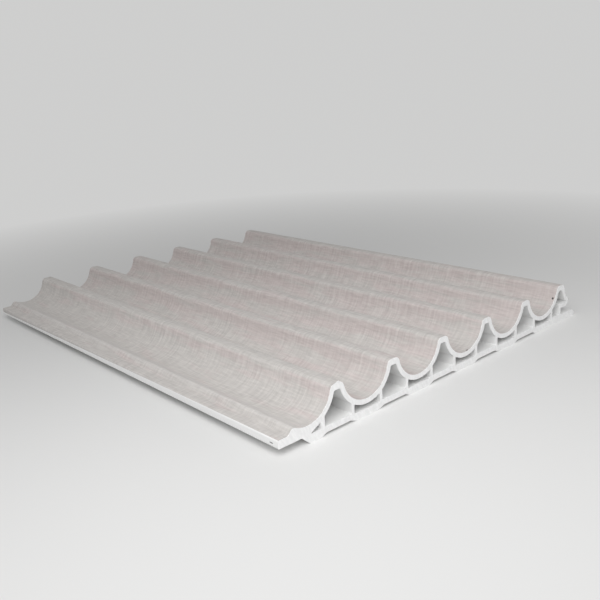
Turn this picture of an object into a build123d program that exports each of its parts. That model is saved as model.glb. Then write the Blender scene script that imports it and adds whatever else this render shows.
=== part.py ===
from build123d import *
import math
import os

# A hollow fluted wall panel, cut to length: one white extrusion with a tongue on one long edge
# and a groove on the other, and a printed film laid over its face. It lies on its back.
# X runs across the flutes from tongue to groove, Y along them, Z up out of the face.

# Overall sizes, in millimetres
panel_length = 257.0
ridge_count = 6
ridge_pitch = 32.0

# Fluted face: round flutes side by side, with a crowned crest between them
flute_radius = 12.7
flute_depth = 11.8
crest_roundness = 0.6  # at 1 the crest's two corners meet and leave no flat
skin_thickness = 2.1
film_thickness = 0.2

# Hollow core: a tall chamber in each ridge and a low one under each flute
flute_floor_thickness = 3.1
flute_hollow_height = 2.2  # at the middle of the flute, where it is least
ridge_floor_thickness = 2.6
crest_thickness = 2.6
ridge_chamber_width = 14.4
ridge_apex_width = 2.2  # the least width that a ridge's chamber narrows to at its top
web_thickness = 1.5
chamber_corner_radius = 0.4
chamber_apex_radius = 0.9

# Back, with a shallow recess under each ridge except the grooved one
recess_depth = 1.2
recess_width = 13.2
recess_ramp_run = 2.7
recess_corner_radius = 3.0

# Tongue edge, reaching out from the seam in the half flute
seam_from_flute_centre = 7.0
shoulder_run = 2.4
shoulder_radius = 1.6
tongue_thickness = 3.4
tongue_corner_radius = 0.6
tongue_ramp_run = 3.9
tongue_ramp_radius = 1.0
edge_foot_width = 5.8
edge_floor_thickness = 3.6
edge_hollow_width = 5.5
edge_hollow_height = 2.9  # at its inner end; it runs out to a point under the seam
edge_hollow_radius = 0.2
edge_web_thickness = 2.1

# Groove edge, sized to take the tongue of the next panel
nose_thickness = 3.3
groove_roof_thickness = 2.2
tongue_play = 0.2  # above and below the tongue
tongue_end_gap = 0.8
seam_gap = 0.9  # across, between the bare edges; the film takes up part of it
nose_gap = 0.8
lip_radius = 0.5
nose_radius = 0.7

# Heights above the back feet
flute_bottom = flute_floor_thickness + flute_hollow_height + skin_thickness
panel_thickness = flute_bottom + flute_depth
flute_centre_height = flute_bottom + flute_radius
ridge_chamber_floor = recess_depth + ridge_floor_thickness
tongue_under = nose_thickness + tongue_play
tongue_top = tongue_under + tongue_thickness
groove_roof = tongue_top + tongue_play
groove_roof_top = groove_roof + groove_roof_thickness
seam_height = flute_centre_height - math.sqrt(flute_radius**2 - seam_from_flute_centre**2)

# Corners of a crest, as a share of the radius at which they would meet in its middle
flute_rise = flute_centre_height - panel_thickness
full_crest_radius = ((ridge_pitch / 2) ** 2 + flute_rise**2 - flute_radius**2) / (2 * flute_depth)
crest_corner_radius = crest_roundness * full_crest_radius

# A ridge's chamber ends under the crest, or lower where the flutes beside it come too close
core_radius = flute_radius + skin_thickness
apex_reach = (ridge_pitch - ridge_apex_width) / 2
apex_height = flute_centre_height - math.sqrt(max(core_radius**2 - apex_reach**2, 0))
ridge_chamber_top = min(panel_thickness - crest_thickness, apex_height)

# Places across the panel, from the first ridge's centre line
half_pitch = ridge_pitch / 2
half_web = web_thickness / 2
half_recess = recess_width / 2
recess_foot = half_recess + recess_ramp_run
recessed_ridges = [n * ridge_pitch for n in range(ridge_count - 1)]
last_ridge_x = (ridge_count - 1) * ridge_pitch
cover_width = ridge_count * ridge_pitch

seam_x = -half_pitch - seam_from_flute_centre
tongue_tip_x = half_web + tongue_end_gap - ridge_pitch
edge_foot_x = -recess_foot - edge_foot_width
ramp_top_x = edge_foot_x - tongue_ramp_run
edge_hollow_x = -ridge_chamber_width / 2 - edge_web_thickness

groove_back_x = last_ridge_x + half_web
lip_end_x = seam_x + cover_width - seam_gap
lip_under_x = lip_end_x - shoulder_run * (seam_height - groove_roof) / (seam_height - tongue_top)
ramp_run_per_height = tongue_ramp_run / tongue_under
nose_top_x = ramp_top_x + cover_width + tongue_play * ramp_run_per_height - nose_gap
nose_tip_x = nose_top_x + nose_thickness / 2 * ramp_run_per_height

# The section stands across the length, with its middle over the origin
first_ridge_x = -(tongue_tip_x + nose_tip_x) / 2
section_plane = Plane(origin=(first_ridge_x, 0, 0), x_dir=(1, 0, 0), z_dir=(0, -1, 0))


def corners_at(section, *points):
    """The section's corners nearest to the given points."""
    return [section.vertices().sort_by_distance(point)[0] for point in points]


# Hollow of a ridge before its corners are rounded: upright sides below, two flutes' undersides above
with BuildSketch() as ridge_hollow:
    with Locations((0, ridge_chamber_floor)):
        Rectangle(
            ridge_chamber_width,
            ridge_chamber_top - ridge_chamber_floor,
            align=(Align.CENTER, Align.MIN),
        )
    with Locations((-half_pitch, flute_centre_height), (half_pitch, flute_centre_height)):
        Circle(core_radius, mode=Mode.SUBTRACT)

with BuildSketch() as ridge_chamber:
    add(ridge_hollow.sketch)
    fillet(ridge_chamber.vertices().group_by(Axis.Y)[-1], chamber_apex_radius)
    fillet(ridge_chamber.vertices().group_by(Axis.Y)[0], chamber_corner_radius)

# The last ridge's chamber: a web down its middle, and its right half stops on the groove's roof
with BuildSketch() as groove_chamber:
    add(ridge_hollow.sketch)
    with Locations((-half_web, 0)):
        Rectangle(ridge_pitch, groove_roof_top, align=(Align.MIN, Align.MIN), mode=Mode.SUBTRACT)
    fillet(groove_chamber.vertices().group_by(Axis.Y)[-1], chamber_apex_radius)
    fillet(groove_chamber.vertices().group_by(Axis.Y)[0], chamber_corner_radius)
    fillet(corners_at(groove_chamber, (-half_web, groove_roof_top)), chamber_apex_radius)

# Low chamber under a full flute, between the webs of two ridges
with BuildSketch() as flute_chamber:
    with Locations((0, flute_floor_thickness)):
        Rectangle(
            ridge_pitch - ridge_chamber_width - 2 * web_thickness,
            flute_centre_height - flute_floor_thickness,
            align=(Align.CENTER, Align.MIN),
        )
    with Locations((0, flute_centre_height)):
        Circle(core_radius, mode=Mode.SUBTRACT)
    fillet(flute_chamber.vertices(), chamber_corner_radius)

# Small wedge-shaped hollow beside the tongue
with BuildSketch() as edge_chamber:
    with BuildLine():
        Polyline(
            (edge_hollow_x, edge_floor_thickness),
            (edge_hollow_x, edge_floor_thickness + edge_hollow_height),
            (edge_hollow_x - edge_hollow_width, edge_floor_thickness),
            close=True,
        )
    make_face()
    fillet(edge_chamber.vertices(), edge_hollow_radius)

# Shallow recess in the back, with sloping sides
with BuildSketch() as back_recess:
    with BuildLine():
        Polyline(
            (-recess_foot, 0),
            (-half_recess, recess_depth),
            (half_recess, recess_depth),
            (recess_foot, 0),
            close=True,
        )
    make_face()

# Outline of the section before its hollows are opened
with BuildSketch() as outline:
    with BuildLine():
        Polyline(
            (edge_foot_x, 0),
            (ramp_top_x, tongue_under),
            (tongue_tip_x, tongue_under),
            (tongue_tip_x, tongue_top),
            (seam_x - shoulder_run, tongue_top),
            (seam_x, seam_height),
            (seam_x, panel_thickness),
            (lip_end_x, panel_thickness),
            (lip_end_x, seam_height),
            (lip_under_x, groove_roof),
            (groove_back_x, groove_roof),
            (groove_back_x, nose_thickness),
            (nose_top_x, nose_thickness),
            (nose_tip_x, nose_thickness / 2),
            (nose_tip_x, 0),
            close=True,
        )
    make_face()
    with Locations(*[(n * ridge_pitch - half_pitch, flute_centre_height) for n in range(ridge_count + 1)]):
        Circle(flute_radius, mode=Mode.SUBTRACT)
    with Locations(*[(ridge_x, 0) for ridge_x in recessed_ridges]):
        add(back_recess.sketch, mode=Mode.SUBTRACT)

    fillet(outline.vertices().group_by(Axis.Y)[-1], crest_corner_radius)
    shoulder_corners = corners_at(outline, (seam_x, seam_height), (seam_x - shoulder_run, tongue_top))
    fillet(shoulder_corners, shoulder_radius)
    tip_corners = corners_at(outline, (tongue_tip_x, tongue_top), (tongue_tip_x, tongue_under))
    fillet(tip_corners, tongue_corner_radius)
    fillet(corners_at(outline, (ramp_top_x, tongue_under), (edge_foot_x, 0)), tongue_ramp_radius)
    fillet(corners_at(outline, (lip_end_x, seam_height), (lip_under_x, groove_roof)), lip_radius)
    fillet(corners_at(outline, (nose_tip_x, nose_thickness / 2), (nose_tip_x, 0)), nose_radius)
    for ridge_x in recessed_ridges:
        for side in (-1, 1):
            recess_corners = corners_at(
                outline,
                (ridge_x + side * recess_foot, 0),
                (ridge_x + side * half_recess, recess_depth),
            )
            fillet(recess_corners, recess_corner_radius)

# The extrusion: the outline with its chambers opened, the same all along
with BuildPart() as extruded_panel:
    with BuildSketch(section_plane):
        add(outline.sketch)
        add(edge_chamber.sketch, mode=Mode.SUBTRACT)
        with Locations(*[(ridge_x, 0) for ridge_x in recessed_ridges]):
            add(ridge_chamber.sketch, mode=Mode.SUBTRACT)
        with Locations(*[(ridge_x + half_pitch, 0) for ridge_x in recessed_ridges]):
            add(flute_chamber.sketch, mode=Mode.SUBTRACT)
        with Locations((last_ridge_x, 0)):
            add(groove_chamber.sketch, mode=Mode.SUBTRACT)
    extrude(amount=panel_length / 2, both=True)

# The printed film: a skin round the outline, kept only over the face, from the tongue's top
# to half way down the end of the lip
film_start_x = tongue_tip_x + tongue_corner_radius
tongue_middle = (tongue_under + tongue_top) / 2
lip_middle = (groove_roof + seam_height) / 2
film_clear_height = panel_thickness + 2 * film_thickness
with BuildPart() as linen_film:
    with BuildSketch(section_plane):
        add(outline.sketch)
        offset(amount=film_thickness)
        add(outline.sketch, mode=Mode.SUBTRACT)
        with BuildLine():
            Polyline(
                (film_start_x, tongue_middle),
                (last_ridge_x, tongue_middle),
                (last_ridge_x, lip_middle),
                (nose_tip_x, lip_middle),
                (nose_tip_x, film_clear_height),
                (film_start_x, film_clear_height),
                close=True,
            )
        make_face(mode=Mode.INTERSECT)
    extrude(amount=panel_length / 2, both=True)

os.makedirs("parts", exist_ok=True)
extruded_panel.part.label = "extruded_panel"
linen_film.part.label = "linen_film"
export_step(extruded_panel.part, "parts/extruded_panel.step")
export_step(linen_film.part, "parts/linen_film.step")
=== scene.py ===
import math
import random

import bmesh
import bpy
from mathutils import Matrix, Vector


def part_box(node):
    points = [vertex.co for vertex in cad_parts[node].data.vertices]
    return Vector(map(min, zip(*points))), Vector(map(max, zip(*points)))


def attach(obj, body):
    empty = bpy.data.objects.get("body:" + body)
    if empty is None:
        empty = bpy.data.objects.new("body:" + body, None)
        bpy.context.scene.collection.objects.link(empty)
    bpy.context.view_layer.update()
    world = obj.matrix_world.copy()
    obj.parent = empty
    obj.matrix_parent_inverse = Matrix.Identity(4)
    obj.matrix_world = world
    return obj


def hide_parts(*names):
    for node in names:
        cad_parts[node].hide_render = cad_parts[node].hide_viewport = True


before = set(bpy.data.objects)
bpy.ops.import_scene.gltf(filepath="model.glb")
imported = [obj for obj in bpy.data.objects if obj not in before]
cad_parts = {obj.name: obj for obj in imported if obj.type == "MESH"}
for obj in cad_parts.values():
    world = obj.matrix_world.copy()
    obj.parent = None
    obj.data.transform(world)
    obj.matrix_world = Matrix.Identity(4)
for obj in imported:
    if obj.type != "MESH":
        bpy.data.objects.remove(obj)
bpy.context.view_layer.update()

# The panel is one hollow extrusion of white filled plastic, drawn through a die in long lengths
# and sawn square across. The die leaves faint lines along it, the saw a chalky, matt end.
mm = 0.001
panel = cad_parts["extruded_panel"]
panel_low, panel_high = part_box("extruded_panel")

white_shade = (0.79, 0.79, 0.785, 1)
white_light = (0.84, 0.84, 0.835, 1)
sawn_shade = (0.79, 0.79, 0.79, 1)
sawn_light = (0.88, 0.88, 0.88, 1)
# Painted shade: the nick in the tongue's side is painted dark grey, as the shade inside the cut
nick_shade_grey = (0.16, 0.15, 0.15, 1)
drawn_roughness = 0.42
sawn_roughness = 0.8
noise_low = 0.3  # nearly all values of a grain lie between these
noise_high = 0.7
mottle_size = (14 * mm, 70 * mm, 14 * mm)
die_line_size = (0.9 * mm, 160 * mm, 0.9 * mm)
saw_line_size = (0.9 * mm, 9 * mm, 4 * mm)
saw_lean = math.radians(24)
sawn_depth = 0.06 * mm
line_height = 0.012 * mm
nick_place = (panel_low.x, panel_low.y + 3.7 * mm, 5.1 * mm)
nick_size = (1.5 * mm, 1.1 * mm, 0.28 * mm)


def new_finish(name):
    """A material with its shader, and the tree to draw the finish in."""
    finish = bpy.data.materials.new(name)
    finish.use_nodes = True
    return finish, finish.node_tree, finish.node_tree.nodes["Principled BSDF"]


def grain(tree, place, sizes, lean=0.0, detail=2.0, roughness=0.5):
    """Soft random spots of the given sizes along each axis, from 0 to 1."""
    turn = tree.nodes.new("ShaderNodeMapping")
    turn.inputs["Rotation"].default_value = (0, lean, 0)
    stretch = tree.nodes.new("ShaderNodeMapping")
    stretch.inputs["Scale"].default_value = [1 / size for size in sizes]
    spots = tree.nodes.new("ShaderNodeTexNoise")
    spots.inputs["Scale"].default_value = 1.0
    spots.inputs["Detail"].default_value = detail
    spots.inputs["Roughness"].default_value = roughness
    tree.links.new(place, turn.inputs["Vector"])
    tree.links.new(turn.outputs["Vector"], stretch.inputs["Vector"])
    tree.links.new(stretch.outputs["Vector"], spots.inputs["Vector"])
    return spots.outputs[0]


def spread(tree, value, low, high, to_low=0.0, to_high=1.0):
    """A value's range from low to high, drawn out to another range and held at its ends."""
    level = tree.nodes.new("ShaderNodeMapRange")
    level.inputs["From Min"].default_value = low
    level.inputs["From Max"].default_value = high
    level.inputs["To Min"].default_value = to_low
    level.inputs["To Max"].default_value = to_high
    tree.links.new(value, level.inputs["Value"])
    return level.outputs["Result"]


def tint(tree, share, under, over):
    """Two colours mixed by a share. Each colour is a fixed one or a socket."""
    mixer = tree.nodes.new("ShaderNodeMix")
    mixer.data_type = "RGBA"
    tree.links.new(share, mixer.inputs["Factor"])
    for name, colour in (("A", under), ("B", over)):
        socket = next(s for s in mixer.inputs if s.name == name and s.type == "RGBA")
        if isinstance(colour, tuple):
            socket.default_value = colour
        else:
            tree.links.new(colour, socket)
    return next(s for s in mixer.outputs if s.type == "RGBA")


def sum_up(tree, operation, first, second):
    """One step of arithmetic on sockets or plain numbers."""
    step = tree.nodes.new("ShaderNodeMath")
    step.operation = operation
    for socket, value in zip(step.inputs, (first, second)):
        if isinstance(value, (int, float)):
            socket.default_value = value
        else:
            tree.links.new(value, socket)
    return step.outputs["Value"]


def mark(tree, place, centre, sizes, full_to=0.7, gone_from=1.1):
    """1 inside a small soft-edged oval at a place, 0 outside it."""
    shift = tree.nodes.new("ShaderNodeMapping")
    shift.vector_type = "TEXTURE"
    shift.inputs["Location"].default_value = centre
    shift.inputs["Scale"].default_value = sizes
    reach = tree.nodes.new("ShaderNodeVectorMath")
    reach.operation = "LENGTH"
    tree.links.new(place, shift.inputs["Vector"])
    tree.links.new(shift.outputs["Vector"], reach.inputs[0])
    return spread(tree, reach.outputs["Value"], full_to, gone_from, 1.0, 0.0)


def relief(tree, shader, height, distance):
    """Fine relief of a finish, as a bump on its shader."""
    bump = tree.nodes.new("ShaderNodeBump")
    bump.inputs["Strength"].default_value = 1.0
    bump.inputs["Distance"].default_value = distance
    tree.links.new(height, bump.inputs["Height"])
    tree.links.new(bump.outputs["Normal"], shader.inputs["Normal"])


white_plastic, tree, shader = new_finish("white_plastic")
place = tree.nodes.new("ShaderNodeTexCoord").outputs["Object"]
split = tree.nodes.new("ShaderNodeSeparateXYZ")
tree.links.new(place, split.inputs["Vector"])
from_middle = sum_up(tree, "ABSOLUTE", split.outputs["Y"], 0.0)
sawn_end = sum_up(tree, "GREATER_THAN", from_middle, panel_high.y - sawn_depth)

mottle = spread(tree, grain(tree, place, mottle_size, detail=3.0), noise_low, noise_high)
die_lines = grain(tree, place, die_line_size, detail=3.0, roughness=0.6)
saw_lines = grain(tree, place, saw_line_size, lean=saw_lean, detail=2.0, roughness=0.7)
drawn_white = tint(tree, mottle, white_shade, white_light)
sawn_white = tint(tree, spread(tree, saw_lines, noise_low, noise_high), sawn_shade, sawn_light)
bare_white = tint(tree, sawn_end, drawn_white, sawn_white)
# Painted shade: a small dark grey oval where the tongue's side is nicked
nick = mark(tree, place, nick_place, nick_size)
tree.links.new(tint(tree, nick, bare_white, nick_shade_grey), shader.inputs["Base Color"])
tree.links.new(spread(tree, sawn_end, 0, 1, drawn_roughness, sawn_roughness), shader.inputs["Roughness"])
lines = tree.nodes.new("ShaderNodeMix")
tree.links.new(sawn_end, lines.inputs["Factor"])
tree.links.new(die_lines, lines.inputs["A"])
tree.links.new(saw_lines, lines.inputs["B"])
relief(tree, shader, lines.outputs["Result"], line_height)
panel.data.materials.clear()
panel.data.materials.append(white_plastic)

# The film is a printed plastic foil, wrapped hot over the fluted face and glued down. It starts
# on the tongue, where its edge was trimmed a little out of line, and folds round the lip's end.
film_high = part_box("linen_film")[1]
film_thickness = film_high.z - panel_high.z
film_set_back = 0.05 * mm  # behind the sawn ends
near_y = panel_low.y + film_set_back
film_length = panel_high.y - panel_low.y - 2 * film_set_back

ridge_count = 6
ridge_pitch = 32 * mm
tongue_to_ridge = 30.45 * mm
first_ridge_x = panel_low.x + tongue_to_ridge
flute_radius = 12.7 * mm - film_thickness
flute_centre_z = 20.1 * mm
crest_corner_radius = 2.43 * mm + film_thickness
shoulder_rise = 2.604 * mm
shoulder_run = 2.4 * mm
shoulder_slope = math.atan2(shoulder_rise, shoulder_run)
shoulder_from_flute = 6.7 * mm  # to the centre of its round
shoulder_radius = 1.6 * mm + film_thickness
tongue_top = 6.9 * mm + film_thickness
tongue_corner_radius = 0.6 * mm + film_thickness
tongue_cover = 0.03 * mm  # the film is drawn thin where it turns down over the tongue's edge
tongue_wrap = 2.9 * mm
ridge_to_lip = 168.1 * mm
lip_end_x = first_ridge_x + ridge_to_lip + film_thickness
lip_fold_z = 9.424 * mm
lip_run = 1.036 * mm
lip_drop = 1.122 * mm
flute_steps = 28
corner_steps = 6
bevel_steps = 4

film_bm = bmesh.new()
across = film_bm.verts.layers.float.new("across")


def straight_to(end, x, z):
    """Draws the film's section on from its end, straight to a new corner."""
    corner = bmesh.ops.extrude_vert_indiv(film_bm, verts=[end])["verts"][0]
    corner.co = (x, near_y, z)
    return corner


def round_about(end, x, z, angle, steps):
    """Draws the film's section on from its end, round a centre."""
    turned = bmesh.ops.spin(
        film_bm, geom=[end], cent=(x, near_y, z), axis=(0, 1, 0), angle=angle, steps=steps
    )
    return next(v for v in turned["geom_last"] if isinstance(v, bmesh.types.BMVert))


# A crest's corner and the shoulder's round touch the flute on the line between their centres
corner_reach = flute_radius + crest_corner_radius
corner_z = film_high.z - crest_corner_radius
corner_angle = math.asin((flute_centre_z - corner_z) / corner_reach)
corner_from_flute = corner_reach * math.cos(corner_angle)
half_flute_angle = math.pi / 2 - corner_angle
shoulder_reach = flute_radius + shoulder_radius
shoulder_angle = math.asin(shoulder_from_flute / shoulder_reach)
lip_angle = math.asin((first_ridge_x + (ridge_count - 0.5) * ridge_pitch - lip_end_x) / flute_radius)

tongue_x = panel_low.x - tongue_cover
start = film_bm.verts.new((tongue_x, near_y, tongue_top - tongue_wrap))
end = straight_to(start, tongue_x, tongue_top - tongue_corner_radius)
end = round_about(
    end,
    tongue_x + tongue_corner_radius,
    tongue_top - tongue_corner_radius,
    math.pi / 2,
    corner_steps,
)
half_flute_x = first_ridge_x - ridge_pitch / 2
shoulder_x = half_flute_x - shoulder_from_flute
shoulder_z = flute_centre_z - shoulder_reach * math.cos(shoulder_angle)
slope_x = shoulder_x - shoulder_radius * math.sin(shoulder_slope)
slope_z = shoulder_z + shoulder_radius * math.cos(shoulder_slope)
slope_run = (slope_z - tongue_top) / math.tan(shoulder_slope)
shoulder_foot = straight_to(end, slope_x - slope_run, tongue_top)
end = straight_to(shoulder_foot, slope_x, slope_z)
end = round_about(end, shoulder_x, shoulder_z, shoulder_slope + shoulder_angle, corner_steps)
end = round_about(end, half_flute_x, flute_centre_z, -shoulder_angle - half_flute_angle, flute_steps)
for ridge in range(ridge_count):
    ridge_x = first_ridge_x + ridge * ridge_pitch
    left_flute_x = ridge_x - ridge_pitch / 2
    right_flute_x = ridge_x + ridge_pitch / 2
    end = round_about(end, left_flute_x + corner_from_flute, corner_z, half_flute_angle, corner_steps)
    end = straight_to(end, right_flute_x - corner_from_flute, film_high.z)
    end = round_about(end, right_flute_x - corner_from_flute, corner_z, half_flute_angle, corner_steps)
    stop_angle = half_flute_angle if ridge < ridge_count - 1 else -lip_angle
    end = round_about(end, right_flute_x, flute_centre_z, -half_flute_angle - stop_angle, flute_steps)
lip_top = end
lip_fold = straight_to(lip_top, lip_end_x, lip_fold_z)
straight_to(lip_fold, lip_end_x - lip_run, lip_fold_z - lip_drop)

film_corners = {shoulder_foot: 0.6 * mm, lip_top: 0.2 * mm, lip_fold: 0.28 * mm}
for corner, cut in film_corners.items():
    bmesh.ops.bevel(
        film_bm,
        geom=[corner],
        offset=cut,
        offset_type="OFFSET",
        affect="VERTICES",
        segments=bevel_steps,
        profile=0.5,
        material=-1,
    )

# The print runs round the face, so each point keeps its distance along the section
at, before, travelled = start, None, 0.0
while at:
    at[across] = travelled
    onward = [e.other_vert(at) for e in at.link_edges if e.other_vert(at) != before]
    if onward:
        travelled += (onward[0].co - at.co).length
    at, before = (onward[0] if onward else None), at

drawn = bmesh.ops.extrude_edge_only(film_bm, edges=film_bm.edges[:])
far_line = [v for v in drawn["geom"] if isinstance(v, bmesh.types.BMVert)]
bmesh.ops.translate(film_bm, verts=far_line, vec=(0, film_length, 0))

# The saw chipped the film's ends: a little everywhere, and more on the crest nearest the tongue
chips = random.Random(11)
chip_depth = 0.25 * mm
torn_depth = 1.3 * mm
torn_least = 0.6  # share of that depth
torn_from = first_ridge_x - 0.6 * mm
torn_to = first_ridge_x + 3.0 * mm
for point in film_bm.verts:
    torn = point.co.y < 0 and torn_from < point.co.x < torn_to
    chip = chips.uniform(0, chip_depth) + torn * chips.uniform(torn_least, 1.0) * torn_depth
    point.co.y -= math.copysign(chip, point.co.y)

# The trimmed edge: along the top of the tongue at the near end, part way down its side at the far end
near_edge = (0.4 * mm, 0)
far_edge = (0, -2.3 * mm)
trim_slope = (sum(near_edge) - sum(far_edge)) / film_length
bmesh.ops.bisect_plane(
    film_bm,
    geom=film_bm.verts[:] + film_bm.edges[:] + film_bm.faces[:],
    plane_co=(tongue_x + near_edge[0], near_y, tongue_top + near_edge[1]),
    plane_no=(1, trim_slope, 1),
    clear_inner=True,
)
bmesh.ops.recalc_face_normals(film_bm, faces=film_bm.faces[:])
if sum(face.normal.z for face in film_bm.faces) < 0:
    bmesh.ops.reverse_faces(film_bm, faces=film_bm.faces[:])

print_map = film_bm.loops.layers.uv.new("print")
for face in film_bm.faces:
    face.smooth = True
    for corner in face.loops:
        corner[print_map].uv = (corner.vert[across], corner.vert.co.y)
for edge in film_bm.edges:
    edge.smooth = not edge.is_boundary

film_mesh = bpy.data.meshes.new("printed_linen_film")
film_bm.to_mesh(film_mesh)
film_bm.free()
film = bpy.data.objects.new("printed_linen_film", film_mesh)
bpy.context.scene.collection.objects.link(film)
wall = film.modifiers.new("thickness", "SOLIDIFY")
wall.thickness = film_thickness
wall.offset = -1.0

# Colours of the print and of the marks on it
thread_dark = (0.468, 0.447, 0.430, 1)
thread_light = (0.613, 0.588, 0.565, 1)
ruddy_dark = (0.487, 0.430, 0.419, 1)
ruddy_light = (0.635, 0.563, 0.550, 1)
slub_grey = (0.45, 0.42, 0.40, 1)
painted_light_pale = (0.78, 0.76, 0.745, 1)  # painted light: paler paint behind the shoulder, where the lamps give less light
fleck_black = (0.02, 0.02, 0.02, 1)
smear_grey = (0.22, 0.20, 0.19, 1)

# Sizes across and along the panel of its threads and patches, and the marks' places
warp_thread = (0.8 * mm, 9 * mm, 1)
weft_thread = (7 * mm, 0.7 * mm, 1)
stout_weft = (13 * mm, 1.5 * mm, 1)
bold_patch = (24 * mm, 40 * mm, 1)
ruddy_patch = (6 * mm, 34 * mm, 1)
slub_size = (0.7 * mm, 5 * mm, 1)
weave_height = 0.02 * mm
fleck_place = (82.7 * mm, -127.4 * mm, 13.5 * mm)
fleck_size = (0.7 * mm, 0.55 * mm, 0.6 * mm)
smear_place = (9.7 * mm, -128.1 * mm, 7.7 * mm)
smear_size = (0.9 * mm, 0.5 * mm, 0.4 * mm)

# The print grows ruddier up a ridge, stays plain on the crest, and is plainer beside the tongue
ruddy_foot = 10.5 * mm
ruddy_top = 18.2 * mm
plain_crest = 19.2 * mm
plain_to = 34 * mm  # along the section from the tongue
ruddy_from = 80 * mm
lean_up_ridge = 0.14
lean_on_crest = -0.20
lean_by_tongue = -0.06
lean_elsewhere = 0.04

# Shares of the parts of the print, and the ranges of grain that they are drawn from
warp_share = 0.4
weft_share = 0.6
noise_middle = 0.5
weave_low = 0.38
weave_high = 0.62
bold_low = 0.35
bold_high = 0.65
calm_weft = 0.5
bold_weft = 1.15
patch_low = 0.48
patch_high = 0.64
hatch_share = 0.55
slub_low = 0.62
slub_high = 0.78
slub_share = 0.6
painted_light_share = 0.22
dark_roughness = 0.66
light_roughness = 0.54

linen_print, tree, shader = new_finish("linen_print")
lie = tree.nodes.new("ShaderNodeUVMap")
lie.uv_map = "print"
place = lie.outputs["UV"]
warp = grain(tree, place, warp_thread, detail=2.0, roughness=0.6)
weft = grain(tree, place, weft_thread, detail=2.0, roughness=0.6)
stout = grain(tree, place, stout_weft, detail=1.0)
boldness = spread(tree, grain(tree, place, bold_patch), bold_low, bold_high, calm_weft, bold_weft)
mean_weft = sum_up(tree, "MULTIPLY", sum_up(tree, "ADD", weft, stout), 0.5)
swing = sum_up(tree, "SUBTRACT", mean_weft, noise_middle)
crossing = sum_up(tree, "ADD", sum_up(tree, "MULTIPLY", swing, boldness), noise_middle)
warp_part = sum_up(tree, "MULTIPLY", warp, warp_share)
weft_part = sum_up(tree, "MULTIPLY", crossing, weft_share)
weave = sum_up(tree, "ADD", warp_part, weft_part)
shade = spread(tree, weave, weave_low, weave_high)
threads = tint(tree, shade, thread_dark, thread_light)
ruddy_threads = tint(tree, shade, ruddy_dark, ruddy_light)

solid_place = tree.nodes.new("ShaderNodeTexCoord").outputs["Object"]
split = tree.nodes.new("ShaderNodeSeparateXYZ")
tree.links.new(solid_place, split.inputs["Vector"])
height = split.outputs["Z"]
up_ridge = spread(tree, height, ruddy_foot, ruddy_top, 0.0, lean_up_ridge)
over_crest = spread(tree, height, ruddy_top, plain_crest, 0.0, lean_on_crest)
lie_split = tree.nodes.new("ShaderNodeSeparateXYZ")
tree.links.new(place, lie_split.inputs["Vector"])
off_tongue = spread(tree, lie_split.outputs["X"], plain_to, ruddy_from, lean_by_tongue, lean_elsewhere)
leaning = sum_up(tree, "ADD", sum_up(tree, "ADD", up_ridge, over_crest), off_tongue)
cloud = grain(tree, place, ruddy_patch, detail=4.0, roughness=0.6)
patches = spread(tree, sum_up(tree, "ADD", cloud, leaning), patch_low, patch_high)
hatching = spread(tree, crossing, weave_low, weave_high, 1.0, hatch_share)
printed = tint(tree, sum_up(tree, "MULTIPLY", patches, hatching), threads, ruddy_threads)
slubs = spread(tree, grain(tree, place, slub_size, detail=2.0), slub_low, slub_high, 0.0, slub_share)
slubbed = tint(tree, slubs, printed, slub_grey)
# Painted light: a paler band painted on the film from the shoulder's round towards the half flute beside
# it
past_shoulder = spread(
    tree, split.outputs["X"], shoulder_x - shoulder_radius, shoulder_x, 0.0, painted_light_share
)
before_valley = spread(tree, split.outputs["X"], shoulder_x + shoulder_radius, half_flute_x, 1.0, 0.0)
with_painted_light = tint(tree, sum_up(tree, "MULTIPLY", past_shoulder, before_valley), slubbed, painted_light_pale)
smeared = tint(tree, mark(tree, solid_place, smear_place, smear_size), with_painted_light, smear_grey)
flecked = tint(tree, mark(tree, solid_place, fleck_place, fleck_size), smeared, fleck_black)
tree.links.new(flecked, shader.inputs["Base Color"])
film_roughness = spread(tree, weave, noise_low, noise_high, dark_roughness, light_roughness)
tree.links.new(film_roughness, shader.inputs["Roughness"])
relief(tree, shader, weave, weave_height)
film.data.materials.append(linen_print)

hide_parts("linen_film")
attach(film, "root")

# The sample lies on a plain pale table top, a wide painted board. Further off the board fades
# into the pale room behind it, so that no edge of it shows.
floor_size = 8.0
top_shade = (0.72, 0.72, 0.715, 1)
top_light = (0.75, 0.75, 0.745, 1)
top_roughness = 0.85
top_cloud = (0.6, 0.6, 0.6)
backdrop_white = (0.62, 0.62, 0.616, 1)
fade_from = 0.12
fade_to = 0.45
floor_bm = bmesh.new()
bmesh.ops.create_grid(floor_bm, x_segments=1, y_segments=1, size=floor_size)
floor_mesh = bpy.data.meshes.new("table_top")
floor_bm.to_mesh(floor_mesh)
floor_bm.free()
floor = bpy.data.objects.new("table_top", floor_mesh)
bpy.context.scene.collection.objects.link(floor)


def seen_straight(tree):
    """1 for what the camera sees, straight or in a gloss or glass, and 0 for light on its way."""
    path = tree.nodes.new("ShaderNodeLightPath")
    mirrored = sum_up(tree, "MAXIMUM", path.outputs["Is Glossy Ray"], path.outputs["Is Transmission Ray"])
    return sum_up(tree, "MAXIMUM", path.outputs["Is Camera Ray"], mirrored)


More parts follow.
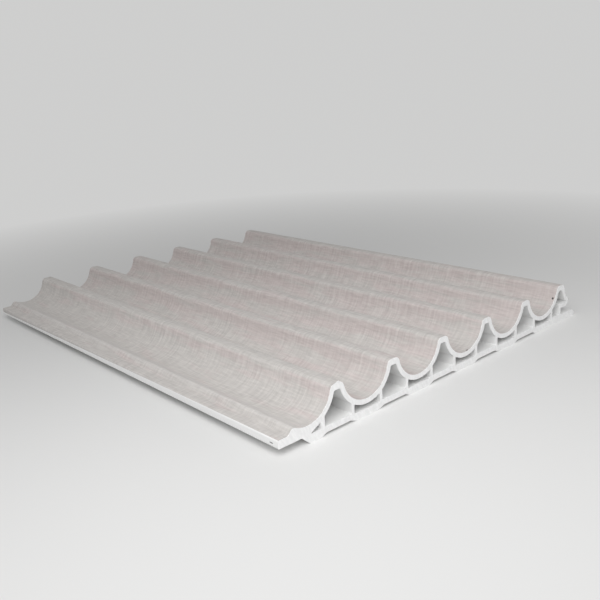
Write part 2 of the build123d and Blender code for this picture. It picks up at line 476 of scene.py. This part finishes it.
pale_top, tree, shader = new_finish("pale_top")
place = tree.nodes.new("ShaderNodeTexCoord").outputs["Object"]
clouded = tint(tree, grain(tree, place, top_cloud), top_shade, top_light)
tree.links.new(clouded, shader.inputs["Base Color"])
shader.inputs["Roughness"].default_value = top_roughness
far_off = tree.nodes.new("ShaderNodeVectorMath")
far_off.operation = "LENGTH"
tree.links.new(place, far_off.inputs[0])
fade = spread(tree, far_off.outputs["Value"], fade_from, fade_to)
haze = tree.nodes.new("ShaderNodeEmission")
haze.inputs["Color"].default_value = backdrop_white
top_mix = tree.nodes.new("ShaderNodeMixShader")
tree.links.new(sum_up(tree, "MULTIPLY", fade, seen_straight(tree)), top_mix.inputs["Fac"])
tree.links.new(shader.outputs["BSDF"], top_mix.inputs[1])
tree.links.new(haze.outputs["Emission"], top_mix.inputs[2])
tree.links.new(top_mix.outputs["Shader"], tree.nodes["Material Output"].inputs["Surface"])
floor.data.materials.append(pale_top)

# Soft studio light: an even pale room, a broad lamp above and to the left of the near end, and a
# weak one low before the groove's corner, so that the sawn end stays white all along.
room_colour = (1, 1, 1, 1)
room_strength = 0.28
lamp_size = 0.45
studio_lamps = {  # place, aim and power
    "left_lamp": (Vector((-0.262, -0.318, 0.335)), Vector((-0.06, -0.2, 0)), 2.1),
    "front_lamp": (Vector((0.15, -0.40, 0.15)), Vector((0, -0.08, 0)), 0.15),
}
room = bpy.data.worlds.new("room")
bpy.context.scene.world = room
room.use_nodes = True
tree = room.node_tree
room_light = tree.nodes["Background"]
room_light.inputs["Color"].default_value = room_colour
room_light.inputs["Strength"].default_value = room_strength
room_seen = tree.nodes.new("ShaderNodeBackground")
room_seen.inputs["Color"].default_value = backdrop_white
room_mix = tree.nodes.new("ShaderNodeMixShader")
tree.links.new(seen_straight(tree), room_mix.inputs["Fac"])
tree.links.new(room_light.outputs["Background"], room_mix.inputs[1])
tree.links.new(room_seen.outputs["Background"], room_mix.inputs[2])
tree.links.new(room_mix.outputs["Shader"], tree.nodes["World Output"].inputs["Surface"])

for name, (lamp_place, lamp_aim, lamp_power) in studio_lamps.items():
    lamp_data = bpy.data.lights.new(name, "AREA")
    lamp_data.shape = "DISK"
    lamp_data.size = lamp_size
    lamp_data.energy = lamp_power
    lamp = bpy.data.objects.new(name, lamp_data)
    bpy.context.scene.collection.objects.link(lamp)
    lamp.location = lamp_place
    lamp.visible_camera = False
    lamp.rotation_euler = (lamp_aim - lamp_place).to_track_quat("-Z", "Y").to_euler()

# The camera stands before the tongue's near corner, at the height and turn of the photograph. Its
# place, turn and lens were fitted to the ridges, edges and corners seen there.
camera_place = (-0.2515, -0.31889, 0.13236)
camera_turn = (73.026, 3.6979, -41.896)
camera_lens = 45.157
film_gate = 36
camera_data = bpy.data.cameras.new("camera")
camera_data.sensor_width = film_gate
camera_data.lens = camera_lens
camera_data.clip_start = 0.01
camera = bpy.data.objects.new("camera", camera_data)
bpy.context.scene.collection.objects.link(camera)
camera.location = camera_place
camera.rotation_euler = [math.radians(angle) for angle in camera_turn]
bpy.context.scene.camera = camera
bpy.context.scene.view_settings.view_transform = "Standard"
